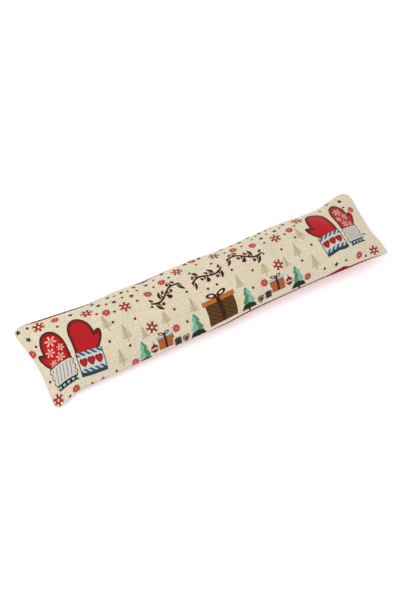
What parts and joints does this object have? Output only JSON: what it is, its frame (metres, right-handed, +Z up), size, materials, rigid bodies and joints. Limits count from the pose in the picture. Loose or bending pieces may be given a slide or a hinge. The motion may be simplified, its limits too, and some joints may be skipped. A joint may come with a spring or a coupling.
{
  "type": "draught excluder cushion",
  "caption": "Long narrow filled cushion with a patterned front panel and a plain back panel, laid along a door or window sill to stop draughts.",
  "frame": {"origin": "centre of the bounding box in plan, on the surface that the cushion lies on", "axes": "+X along the length, +Y across it, +Z up out of the patterned front"},
  "size_m": [0.9042, 0.2046, 0.0836],
  "materials": {
    "tapestry": "woven cotton-look tapestry in cream with a winter pattern, matt",
    "red_cloth": "plain red cloth, matt"
  },
  "bodies": {
    "root": {"front_panel": "tapestry", "back_panel": "red_cloth"}
  },
  "joints": []
}
